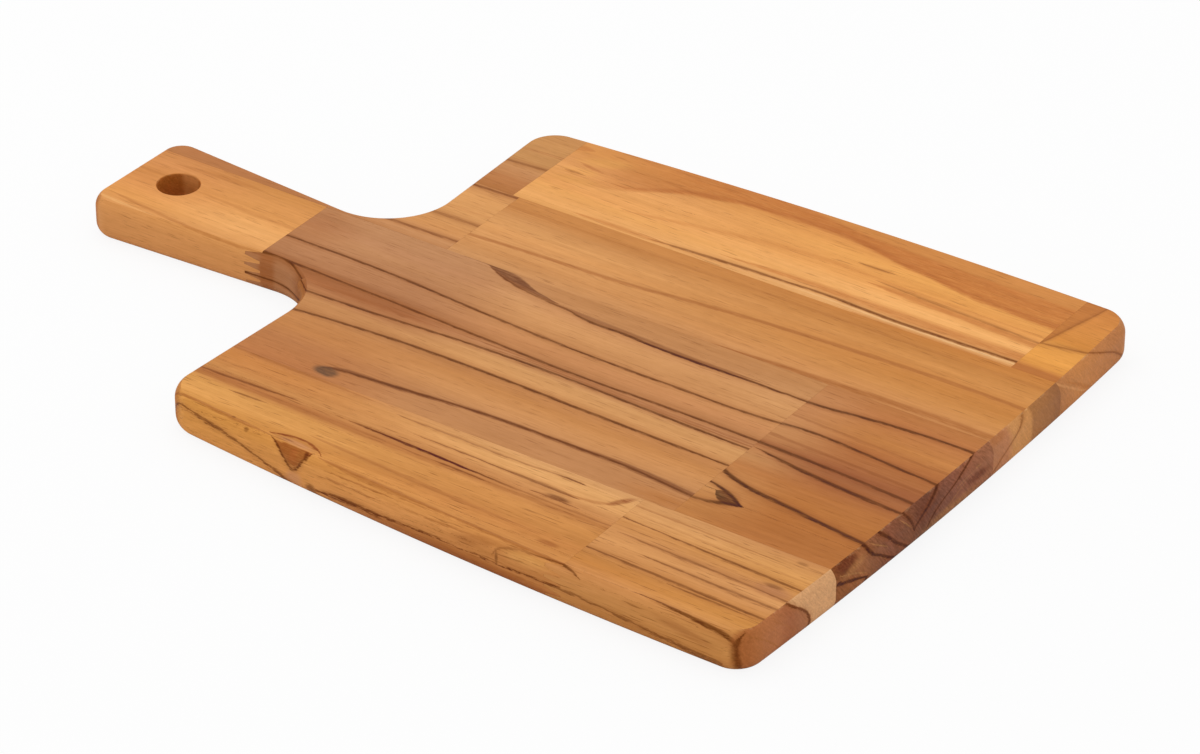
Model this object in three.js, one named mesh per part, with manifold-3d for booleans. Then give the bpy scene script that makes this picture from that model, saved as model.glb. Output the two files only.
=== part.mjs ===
// Paddle-shaped teak cutting board: four staves glued edge to edge, each finger-jointed from shorter lengths,
// cut to an outline with a handle, rounded over along every edge, planed and bored with a hanging hole.
// Millimetres, +Z up. +X runs from the handle to the far end and +Y to the far side. The board lies on Z = 0,
// with the origin under the middle of its length and width.

import * as THREE from 'three';
import { mergeVertices } from 'three/addons/utils/BufferGeometryUtils.js';
import Module from 'manifold-3d';

// Outline. Corners are named before rounding, and each bow is the height of a gently curved side.
const bodyLength = 265;
const endWidth = 261;
const shoulderWidth = 239.2;
const sideBow = 3.75;
const endBow = 3.6;
const endBowReach = 48;
const endCornerRadius = 10.5;
const shoulderCornerRadius = 13.2;
const shoulderLean = 4.3;
const neckWidth = 42.4;
const neckFilletRadius = 26.2;
const handleLength = 112.4;
const handleEndWidth = 58;
const handleCornerRadius = 9.5;

// Slab, its rounded edges and the hanging hole. The faces are planed after the edges are rounded, so each face
// meets its rounded edge at a crisp line.
const thickness = 16.4;
const facePlaned = 1.35;
const edgeRadius = 6.35;
const holeDiameter = 17;
const holeFromHandleEnd = 23.6;
const holeEasing = 0.6;

// Staves. The blank was glued up square and the outline was cut from it a little askew.
const staveSkewDegrees = 0.93;
const secondStaveWidth = 48.1;
const centreStaveWidth = 101.5;
const glueGap = 0.2;

// Lengths within each stave, up to the joint's line on the two faces.
const farShoulderLength = 23.5;
const farEndLength = 17.7;
const secondShoulderLength = 26.6;
const handlePieceLength = 82;
const centreEndLength = 66.5;
const nearEndLength = 79.2;

// Finger joints: the fingers are stacked through the thickness, so they show on the edges and not on the faces.
const fingerLength = 7.2;
const fingersThroughThickness = 4;
const fingerTipWidth = 1;
const fingerTipGap = 0.3;

// Facet counts, and the distance within which corners of a mesh are one.
const arcSteps = 10;
const longSideSteps = 14;
const endSteps = 10;
const edgeSteps = 8;
const holeSteps = 40;
const rimSteps = 4;
const mergeDistance = 1e-5;

// Reference lines across the length, with the origin at the middle of the whole board.
const overallLength = handleLength + bodyLength + endBow;
const handleX = -overallLength / 2;
const shoulderX = handleX + handleLength;
const endX = shoulderX + bodyLength;
const beyondBoard = overallLength;

// The rounded edge never meets itself across the thickness or inside a corner.
const leastFlat = 0.4;
const stockThickness = thickness + 2 * facePlaned;
const smallestCornerRadius = Math.min(endCornerRadius, shoulderCornerRadius, handleCornerRadius);
const edgeRound = Math.min(edgeRadius, (stockThickness - leastFlat) / 2, smallestCornerRadius - leastFlat);

const wasm = await Module();
wasm.setup();

// Turns a closed three.js geometry into a solid that can be cut.
function solidFrom(geometry) {
  const bare = geometry.clone();
  bare.deleteAttribute('normal');
  bare.deleteAttribute('uv');
  const merged = mergeVertices(bare, mergeDistance);
  const corners = merged.index.array;
  const triangles = [];
  for (let i = 0; i < corners.length; i += 3) {
    const [a, b, c] = [corners[i], corners[i + 1], corners[i + 2]];
    if (a !== b && b !== c && c !== a) triangles.push(a, b, c);
  }
  const mesh = new wasm.Mesh({
    numProp: 3,
    vertProperties: new Float32Array(merged.attributes.position.array),
    triVerts: new Uint32Array(triangles),
  });
  return new wasm.Manifold(mesh);
}

// Turns a solid back into a three.js geometry.
function geometryFrom(solid) {
  const mesh = solid.getMesh();
  const geometry = new THREE.BufferGeometry();
  geometry.setAttribute('position', new THREE.BufferAttribute(new Float32Array(mesh.vertProperties), 3));
  geometry.setIndex(new THREE.BufferAttribute(new Uint32Array(mesh.triVerts), 1));
  geometry.computeVertexNormals();
  return geometry;
}

// Points of the arc that rounds one corner of a polygon, from the side before it to the side after it.
function cornerArc(before, corner, after) {
  const back = before.clone().sub(corner).normalize();
  const ahead = after.clone().sub(corner).normalize();
  const halfAngle = back.angleTo(ahead) / 2;
  const centre = back.clone().add(ahead).normalize();
  centre.multiplyScalar(corner.radius / Math.sin(halfAngle)).add(corner);
  const tangent = corner.radius / Math.tan(halfAngle);
  const start = back.multiplyScalar(tangent).add(corner).sub(centre);
  const end = ahead.multiplyScalar(tangent).add(corner).sub(centre);
  const turn = Math.atan2(start.cross(end), start.dot(end));
  const points = [];
  for (let step = 0; step <= arcSteps; step += 1) {
    points.push(start.clone().rotateAround(new THREE.Vector2(), (turn * step) / arcSteps).add(centre));
  }
  return points;
}

// Bows the long sides and the end outwards, fading to nothing at the corners and along the axis.
function bowed(point) {
  const along = THREE.MathUtils.clamp((point.x - shoulderX) / bodyLength, 0, 1);
  const halfWidth = THREE.MathUtils.lerp(shoulderWidth, endWidth, along) / 2;
  const share = THREE.MathUtils.clamp(Math.abs(point.y) / halfWidth, 0, 1);
  const nearEnd = THREE.MathUtils.clamp(1 - (endX - point.x) / endBowReach, 0, 1);
  const sideways = sideBow * 4 * along * (1 - along) * share ** 2;
  const lengthways = endBow * nearEnd ** 2 * (1 - Math.min(1, Math.abs(point.y) / (endWidth / 2)) ** 2);
  return new THREE.Vector2(point.x + lengthways, point.y + Math.sign(point.y) * sideways);
}

// The whole outline, counter-clockwise from the far end corner.
function boardOutline() {
  const corner = (x, y, radius) => Object.assign(new THREE.Vector2(x, y), { radius });
  const farSide = [
    corner(endX, endWidth / 2, endCornerRadius),
    corner(shoulderX, shoulderWidth / 2, shoulderCornerRadius),
    corner(shoulderX + shoulderLean, neckWidth / 2, neckFilletRadius),
    corner(handleX, handleEndWidth / 2, handleCornerRadius),
  ];
  const nearSide = farSide.map((point) => corner(point.x, -point.y, point.radius)).reverse();
  const corners = [...farSide, ...nearSide];
  const stepsAfter = [longSideSteps, 1, 1, 1, 1, 1, longSideSteps, endSteps];
  const points = [];
  corners.forEach((point, i) => {
    const next = corners[(i + 1) % corners.length];
    const afterNext = corners[(i + 2) % corners.length];
    const arc = cornerArc(corners.at(i - 1), point, next);
    const nextStart = cornerArc(point, next, afterNext)[0];
    points.push(...arc);
    for (let step = 1; step < stepsAfter[i]; step += 1) {
      points.push(arc.at(-1).clone().lerp(nextStart, step / stepsAfter[i]));
    }
  });
  return new THREE.Shape(points.map(bowed));
}

// The slab before it is divided into staves: rounded over along its edges, then planed on both faces.
function planedSlab() {
  const rounded = new THREE.ExtrudeGeometry(boardOutline(), {
    depth: stockThickness - 2 * edgeRound,
    bevelThickness: edgeRound,
    bevelSize: edgeRound,
    bevelOffset: -edgeRound,
    bevelSegments: edgeSteps,
    steps: 1,
  });
  const stock = solidFrom(rounded.translate(0, 0, edgeRound - facePlaned));
  return stock.trimByPlane([0, 0, 1], 0).trimByPlane([0, 0, -1], -thickness);
}

// The hanging hole: a bore whose two rims are eased by a small radius.
function hangingHole() {
  const boreRadius = holeDiameter / 2;
  const rimRadius = boreRadius + holeEasing;
  const past = thickness;
  const profile = [new THREE.Vector2(0, -past), new THREE.Vector2(rimRadius, -past)];
  const rim = (height, direction, step) => {
    const angle = (step / rimSteps) * (Math.PI / 2);
    const radius = rimRadius - holeEasing * Math.sin(angle);
    return new THREE.Vector2(radius, height + direction * holeEasing * (1 - Math.cos(angle)));
  };
  for (let step = 0; step <= rimSteps; step += 1) profile.push(rim(0, 1, step));
  for (let step = rimSteps; step >= 0; step -= 1) profile.push(rim(thickness, -1, step));
  profile.push(new THREE.Vector2(rimRadius, thickness + past), new THREE.Vector2(0, thickness + past));
  const cutter = new THREE.LatheGeometry(profile, holeSteps).rotateX(Math.PI / 2);
  return solidFrom(cutter.translate(handleX + holeFromHandleEnd, 0, 0));
}

// Side view of one finger-jointed end, as points from the underside up to the top face. The length before the
// joint has fingers that reach faceLine, and half of one at each face. The length after it has fingers between.
function fingerProfile(faceLine, beforeJoint) {
  const pitch = thickness / fingersThroughThickness;
  const tip = fingerTipWidth / 2;
  const root = pitch / 2 - tip - glueGap;
  const rootLine = faceLine - fingerLength;
  const outer = beforeJoint ? faceLine - fingerTipGap : faceLine;
  const inner = beforeJoint ? rootLine : rootLine + fingerTipGap;
  const outerHalf = beforeJoint ? tip : pitch / 2 - root;
  const innerHalf = beforeJoint ? root : pitch / 2 - tip;
  const points = [new THREE.Vector2(outer, -thickness)];
  for (let finger = 0; finger < fingersThroughThickness; finger += 1) {
    const low = finger * pitch;
    const high = low + pitch;
    points.push(new THREE.Vector2(outer, low + outerHalf), new THREE.Vector2(inner, low + innerHalf));
    points.push(new THREE.Vector2(inner, high - innerHalf), new THREE.Vector2(outer, high - outerHalf));
  }
  points.push(new THREE.Vector2(outer, 2 * thickness));
  return points;
}

// A length of squared stave between two glue lines, with a finger joint or a free end at each end.
function staveBlank({ startJoint, endJoint, low, high }) {
  const freeEnd = (x) => [new THREE.Vector2(x, -thickness), new THREE.Vector2(x, 2 * thickness)];
  const start = startJoint === undefined ? freeEnd(-beyondBoard) : fingerProfile(startJoint, false);
  const end = endJoint === undefined ? freeEnd(beyondBoard) : fingerProfile(endJoint, true);
  const sideView = new THREE.Shape([...end, ...start.reverse()]);
  const blank = new THREE.ExtrudeGeometry(sideView, { depth: high - low, bevelEnabled: false });
  blank.rotateX(Math.PI / 2).translate(0, high, 0).rotateZ(THREE.MathUtils.degToRad(staveSkewDegrees));
  return solidFrom(blank);
}

// Glue lines across the width, measured square to the staves. The centre stave is as wide as the neck on its far
// side.
const centreFarLine = neckWidth / 2;
const centreNearLine = centreFarLine - centreStaveWidth;
const secondFarLine = centreFarLine + secondStaveWidth;
const halfGap = glueGap / 2;
const far = { low: secondFarLine + halfGap, high: beyondBoard };
const second = { low: centreFarLine + halfGap, high: secondFarLine - halfGap };
const centre = { low: centreNearLine + halfGap, high: centreFarLine - halfGap };
const near = { low: -beyondBoard, high: centreNearLine - halfGap };

// Face lines of the joints along the staves.
const farShoulderJoint = shoulderX + farShoulderLength;
const farEndJoint = endX - farEndLength;
const secondJoint = shoulderX + secondShoulderLength;
const handleJoint = handleX + handlePieceLength;
const centreEndJoint = endX - centreEndLength;
const nearEndJoint = endX - nearEndLength;

const paleTeak = '#d99a57';
const honeyTeak = '#cb8c4f';
const brownTeak = '#b87a48';
const oiledRoughness = 0.55;

const pieces = [
  { name: 'far_stave_shoulder', colour: brownTeak, ...far, endJoint: farShoulderJoint },
  { name: 'far_stave_middle', colour: paleTeak, ...far, startJoint: farShoulderJoint, endJoint: farEndJoint },
  { name: 'far_stave_end', colour: paleTeak, ...far, startJoint: farEndJoint },
  { name: 'second_stave_shoulder', colour: paleTeak, ...second, endJoint: secondJoint },
  { name: 'second_stave_body', colour: honeyTeak, ...second, startJoint: secondJoint },
  { name: 'centre_stave_handle', colour: paleTeak, ...centre, endJoint: handleJoint },
  {
    name: 'centre_stave_middle',
    colour: honeyTeak,
    ...centre,
    startJoint: handleJoint,
    endJoint: centreEndJoint,
  },
  { name: 'centre_stave_end', colour: brownTeak, ...centre, startJoint: centreEndJoint },
  { name: 'near_stave_body', colour: honeyTeak, ...near, endJoint: nearEndJoint },
  { name: 'near_stave_end', colour: paleTeak, ...near, startJoint: nearEndJoint },
];

const slab = planedSlab().subtract(hangingHole());
const board = new THREE.Group();
board.name = 'cutting_board';
for (const piece of pieces) {
  const geometry = geometryFrom(slab.intersect(staveBlank(piece)));
  const material = new THREE.MeshStandardMaterial({
    color: piece.colour,
    roughness: oiledRoughness,
    metalness: 0,
  });
  const mesh = new THREE.Mesh(geometry, material);
  mesh.name = piece.name;
  board.add(mesh);
}

export default board;
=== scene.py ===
import math
from functools import partial

import bpy
import numpy as np
from mathutils import Matrix, Vector


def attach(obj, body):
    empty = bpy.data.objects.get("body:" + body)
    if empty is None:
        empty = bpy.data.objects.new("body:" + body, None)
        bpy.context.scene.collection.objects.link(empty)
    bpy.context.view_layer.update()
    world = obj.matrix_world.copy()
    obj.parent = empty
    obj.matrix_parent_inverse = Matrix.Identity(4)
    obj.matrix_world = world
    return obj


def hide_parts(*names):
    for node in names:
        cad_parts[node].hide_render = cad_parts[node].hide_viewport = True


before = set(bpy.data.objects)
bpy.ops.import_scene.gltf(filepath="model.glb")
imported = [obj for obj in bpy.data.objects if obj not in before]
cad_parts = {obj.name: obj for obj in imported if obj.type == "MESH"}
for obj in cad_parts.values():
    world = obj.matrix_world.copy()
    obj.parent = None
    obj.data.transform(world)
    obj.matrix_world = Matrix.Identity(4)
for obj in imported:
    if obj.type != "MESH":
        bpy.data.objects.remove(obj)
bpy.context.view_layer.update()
print("stage: frame loaded")

# Sizes are in millimetres and become metres when a mesh is made.
metre = 0.001

slabSize = {
    "bodyLength": 265,
    "endWidth": 261,
    "endCornerRadius": 10.5,
    "shoulderWidth": 239.2,
    "shoulderCornerRadius": 13.2,
    "shoulderLean": 4.3,
    "sideBow": 3.75,
    "endBow": 3.6,
    "endBowReach": 48,
    "neckWidth": 42.4,
    "neckFilletRadius": 26.2,
    "handleLength": 112.4,
    "handleEndWidth": 58,
    "handleCornerRadius": 9.5,
    "thickness": 16.4,
    "facePlaned": 1.35,  # taken off each face after the edges were rounded, which leaves a crisp line
    "edgeRadius": 6.35,
    "edgeSteps": 12,
}
thickness = slabSize["thickness"]
handleX = -(slabSize["handleLength"] + slabSize["bodyLength"] + slabSize["endBow"]) / 2
shoulderX = handleX + slabSize["handleLength"]
endX = shoulderX + slabSize["bodyLength"]
beyondBoard = 400

holeSize = {"radius": 8.5, "easing": 0.6, "fromHandleEnd": 23.6, "steps": 96, "rimSteps": 8}
staveSkew = math.radians(0.93)
glueGap = 0.04
fingerSize = {"length": 7.2, "count": 4, "tip": 1, "tipGap": 0.08}


def linear(code):
    channels = [int(code[i : i + 2], 16) / 255 for i in (1, 3, 5)]
    return [c / 12.92 if c <= 0.04045 else ((c + 0.055) / 1.055) ** 2.4 for c in channels] + [1]


def cornerArc(before, corner, after, radius, steps):
    back = (before - corner) / np.linalg.norm(before - corner)
    ahead = (after - corner) / np.linalg.norm(after - corner)
    half = math.acos(np.clip(back @ ahead, -1, 1)) / 2
    middle = back + ahead
    centre = corner + middle / np.linalg.norm(middle) * radius / math.sin(half)
    start = corner + back * radius / math.tan(half) - centre
    end = corner + ahead * radius / math.tan(half) - centre
    turn = math.atan2(start[0] * end[1] - start[1] * end[0], start @ end)
    points = []
    for angle in np.linspace(0, turn, steps + 1):
        c, s = math.cos(angle), math.sin(angle)
        points.append(centre + (start[0] * c - start[1] * s, start[0] * s + start[1] * c))
    return points


def bowed(point):
    # the body's sides and its end swell a little between the corners
    along = np.clip((point[0] - shoulderX) / slabSize["bodyLength"], 0, 1)
    halfWidth = (slabSize["shoulderWidth"] * (1 - along) + slabSize["endWidth"] * along) / 2
    share = min(1, abs(point[1]) / halfWidth)
    nearEnd = np.clip(1 - (endX - point[0]) / slabSize["endBowReach"], 0, 1)
    sideways = slabSize["sideBow"] * 4 * along * (1 - along) * share ** 2
    fromAxis = min(1, abs(point[1]) / (slabSize["endWidth"] / 2))
    lengthways = slabSize["endBow"] * nearEnd ** 2 * (1 - fromAxis ** 2)
    return point[0] + lengthways, point[1] + math.copysign(sideways, point[1])


def boardOutline():
    # each corner has its place, its radius, its facets and the steps to the next corner
    neckX = shoulderX + slabSize["shoulderLean"]
    farSide = [
        (endX, slabSize["endWidth"] / 2, slabSize["endCornerRadius"], 20, 60),
        (shoulderX, slabSize["shoulderWidth"] / 2, slabSize["shoulderCornerRadius"], 22, 20),
        (neckX, slabSize["neckWidth"] / 2, slabSize["neckFilletRadius"], 34, 20),
        (handleX, slabSize["handleEndWidth"] / 2, slabSize["handleCornerRadius"], 20, 12),
    ]
    nearSteps = (20, 20, 60, 60)
    nearSide = [(x, -y, r, n, m) for (x, y, r, n, _), m in zip(reversed(farSide), nearSteps)]
    corners = farSide + nearSide
    places = [np.array(c[:2]) for c in corners]
    count = len(corners)
    arcs = []
    for i, (_, _, radius, facets, _) in enumerate(corners):
        arcs.append(cornerArc(places[i - 1], places[i], places[(i + 1) % count], radius, facets))
    points = []
    for i, (_, _, _, _, steps) in enumerate(corners):
        points += arcs[i]
        nextStart = arcs[(i + 1) % count][0]
        for step in range(1, steps):
            points.append(arcs[i][-1] + (nextStart - arcs[i][-1]) * step / steps)
    return np.array([bowed(p) for p in points])


def meshFrom(name, points, faces):
    mesh = bpy.data.meshes.new(name)
    mesh.from_pydata([Vector(p) * metre for p in points], [], faces)
    mesh.validate()
    mesh.update()
    return mesh


def stacked(name, rings):
    # a closed mesh through rings of points, from the lowest ring to the highest
    count = len(rings[0])
    points = [point for ring in rings for point in ring]
    faces = [list(range(count))[::-1], [(len(rings) - 1) * count + i for i in range(count)]]
    for level in range(len(rings) - 1):
        for i in range(count):
            a, b = level * count + i, level * count + (i + 1) % count
            faces.append((a, b, b + count, a + count))
    return meshFrom(name, points, faces)


def slabMesh():
    outline = boardOutline()
    ahead = np.roll(outline, -1, 0) - outline
    ahead /= np.linalg.norm(ahead, axis=1)[:, None]
    outward = np.column_stack([ahead[:, 1], -ahead[:, 0]])
    corner = outward + np.roll(outward, 1, 0)
    inset = corner / (corner * outward).sum(1)[:, None]  # mitred, so every ring stays parallel
    radius, planed = slabSize["edgeRadius"], slabSize["facePlaned"]
    crispLine = math.acos(1 - planed / radius)
    angles = np.linspace(crispLine, math.pi / 2, slabSize["edgeSteps"] + 1)
    lower = [(radius * (1 - math.sin(a)), radius * (1 - math.cos(a)) - planed) for a in angles]
    levels = lower + [(depth, thickness - z) for depth, z in reversed(lower)]
    return stacked("slab", [[(x, y, z) for x, y in outline - inset * depth] for depth, z in levels])


def holeMesh():
    easing = holeSize["easing"]
    rim = holeSize["radius"] + easing
    angles = np.linspace(0, math.pi / 2, holeSize["rimSteps"] + 1)
    lower = [(rim - easing * math.sin(a), easing * (1 - math.cos(a))) for a in angles]
    upper = [(r, thickness - z) for r, z in reversed(lower)]
    profile = [(rim, -thickness)] + lower + upper + [(rim, 2 * thickness)]
    turns = np.linspace(0, 2 * math.pi, holeSize["steps"], endpoint=False)
    middle = handleX + holeSize["fromHandleEnd"]
    rings = [[(middle + r * math.cos(a), r * math.sin(a), z) for a in turns] for r, z in profile]
    return stacked("hole", rings)


def fingerProfile(faceLine, beforeJoint):
    # side view of one finger-jointed end, from the underside up
    pitch = thickness / fingerSize["count"]
    tip = fingerSize["tip"] / 2
    root = pitch / 2 - tip - glueGap
    rootLine = faceLine - fingerSize["length"]
    outer = faceLine - glueGap if beforeJoint else faceLine
    inner = rootLine if beforeJoint else rootLine + fingerSize["tipGap"]
    outerHalf = tip if beforeJoint else pitch / 2 - root
    innerHalf = root if beforeJoint else pitch / 2 - tip
    points = [(outer, -thickness)]
    for finger in range(fingerSize["count"]):
        low, high = finger * pitch, (finger + 1) * pitch
        points += [(outer, low + outerHalf), (inner, low + innerHalf)]
        points += [(inner, high - innerHalf), (outer, high - outerHalf)]
    points.append((outer, 2 * thickness))
    return points


def staveBlank(name, start, end, low, high):
    # a side view (x, z) run across the width from low to high, turned to the staves
    freeStart = [(-beyondBoard, -thickness), (-beyondBoard, 2 * thickness)]
    freeEnd = [(beyondBoard, -thickness), (beyondBoard, 2 * thickness)]
    first = fingerProfile(start, False) if start else freeStart
    last = fingerProfile(end, True) if end else freeEnd
    turn = Matrix.Rotation(staveSkew, 3, "Z")
    sideView = last + first[::-1]
    count = len(sideView)
    points = [turn @ Vector((x, y, z)) for y in (low, high) for x, z in sideView]
    faces = [list(range(count)), list(range(count, 2 * count))[::-1]]
    for i in range(count):
        j = (i + 1) % count
        faces.append((j, i, i + count, j + count))
    return meshFrom(name, points, faces)


def cut(mesh, *cuts):
    # the mesh after each boolean cut in turn
    collection = bpy.context.scene.collection
    body = bpy.data.objects.new("body", mesh)
    collection.objects.link(body)
    tools = []
    for operation, tool in cuts:
        other = bpy.data.objects.new("tool", tool)
        collection.objects.link(other)
        tools.append(other)
        step = body.modifiers.new("cut", "BOOLEAN")
        step.operation = operation
        step.solver = "MANIFOLD"
        step.object = other
    shaped = bpy.data.meshes.new_from_object(body.evaluated_get(bpy.context.evaluated_depsgraph_get()))
    for used in [body] + tools:
        bpy.data.objects.remove(used)
    return shaped


def addNode(tree, kind, *inputs, sockets={}, **settings):
    node = tree.nodes.new("ShaderNode" + kind)
    for key, value in settings.items():
        if key == "points":  # a curve through the given points, level beyond its ends
            curve = node.mapping.curves[0]
            node.mapping.use_clip = False
            node.mapping.extend = "HORIZONTAL"
            curve.points[0].location = value[0]
            curve.points[1].location = value[-1]
            for spot in value[1:-1]:
                curve.points.new(*spot)
            node.mapping.update()
        elif key == "stops":  # a colour ramp
            ramp = node.color_ramp
            ramp.elements[0].position, ramp.elements[1].position = value[0][0], value[-1][0]
            for spot, _ in value[1:-1]:
                ramp.elements.new(spot)
            for element, (_, colour) in zip(ramp.elements, value):
                element.color = colour
        else:
            setattr(node, key, value)
    for socket, value in [*enumerate(inputs), *sockets.items()]:
        if isinstance(value, bpy.types.NodeSocket):
            tree.links.new(value, node.inputs[socket])
        else:
            node.inputs[socket].default_value = value
    return node.outputs


# length along the grain, width across it (both in mm), detail and roughness of each pattern in the wood.
# Real pores and fibres are 0.1 to 0.3 mm wide, which the picture can't show, so they are drawn coarser.
grainSizes = {
    "streak": (95, 3.6, 4, 0.62),
    "blotch": (60, 22, 3, 0.55),
    "fray": (6, 0.8, 4, 0.68),
    "fibre": (26, 0.9, 5, 0.72),
    "fleck": (11, 0.6, 2, 0.55),
    "mottle": (5, 2.6, 3, 0.6),
}
figureShift = (1.23, -1.74, 0)  # the figure is drawn from a corner that is this far off the frame's
endGrainSizes = {
    "speck": 0.9,  # mm across the pores, also drawn coarser than they are
    "speckDepth": 0.2,
    "fibreLength": 6,  # mm along and across the fibres that the saw has torn
    "fibreWidth": 0.7,
    "fibreLean": math.radians(52),
}
oiledFinish = {
    "ior": 1.48,
    "specular": 0.13,
    "roughness": (0.5, 0.62),  # the oil has sunk in more along some streaks than along others
    "bump": 0.25,
    "bumpDepth": 0.08,  # mm
    # colour of the crisp line over the end grain: painted highlight together with the sander's paler chips
    "brokenLine": "#ecc08a",
}


def line(tone, path, half, strength, core=0.25, side=False):
    # a drawn line with its half width, soft outside its core; side keeps it off the top face
    return {"tone": tone, "path": path, "half": half, "strength": strength, "core": core, "side": side}


def field(tone, path, edge, strength):
    # all that lies past a path, with a soft edge
    return {"tone": tone, "path": path, "edge": edge, "strength": strength}


def spot(tone, at, size, strength, turn=0, core=0.35, side=False):
    made = {"tone": tone, "at": at, "size": size, "strength": strength, "core": core, "side": side}
    made["turn"] = (0, 0, math.radians(turn))
    return made


def drawFigure(add, look, strokes, colour, along, across, fray, deep=None):
    # lays the strokes over the colour, tone by tone, with a soft halo beside the dark lines
    spread = add("CombineXYZ", along, across)[0]
    smooth = {"interpolation_type": "SMOOTHSTEP"}
    for tone, code in look["tones"].items():
        shapes, halos = [], []
        for stroke in strokes:
            strength = stroke["strength"]
            if stroke["tone"] != tone:
                continue
            if isinstance(strength, list):
                strength = add("FloatCurve", 1, along, points=strength)[0]
            if stroke.get("side"):
                strength = add("Math", deep, strength, operation="MULTIPLY")[0]
            if "at" in stroke:
                place, size = (*stroke["at"], 0), (*stroke["size"], 1)
                inside = add("Mapping", spread, place, stroke["turn"], size, vector_type="TEXTURE")[0]
                apart = add("VectorMath", inside, operation="LENGTH")["Value"]
                shapes.append(add("MapRange", apart, stroke["core"], 1.1, strength, 0, **smooth)[0])
                continue
            middle = add("FloatCurve", 1, along, points=stroke["path"])[0]
            off = add("Math", across, middle, operation="SUBTRACT")[0]
            if "edge" in stroke:
                edge = stroke["edge"]
                shapes.append(add("MapRange", off, -edge, edge, 0, strength, **smooth)[0])
                continue
            half = stroke["half"]
            if isinstance(half, list):
                half = add("FloatCurve", 1, along, points=half)[0]
                half = add("Math", half, 0.02, operation="MAXIMUM")[0]  # never quite nothing
            apart = add("Math", off, operation="ABSOLUTE")[0]
            apart = add("Math", apart, half, operation="DIVIDE")[0]
            shapes.append(add("MapRange", apart, stroke["core"], 1, strength, 0, **smooth)[0])
            if tone == "dark":
                halos.append(add("MapRange", apart, 0.5, 2.8, 0.35, 0, **smooth)[0])
        for tint, masks in ((look["halo"], halos), (code, shapes)):
            if masks:
                mask = masks[0]
                for other in masks[1:]:
                    mask = add("Math", mask, other, operation="MAXIMUM")[0]
                mask = add("Math", mask, fray, operation="MULTIPLY")[0]
                colour = add("Mix", mask, sockets={6: colour, 7: linear(tint)}, data_type="RGBA")[2]
    return colour


def bandStops(bands, column):
    # colour stops across a stave, and the first and last place that they run between
    low, high = bands[0][0], bands[-1][0]
    return low, high, [((band[0] - low) / (high - low), linear(band[column])) for band in bands]


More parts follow.
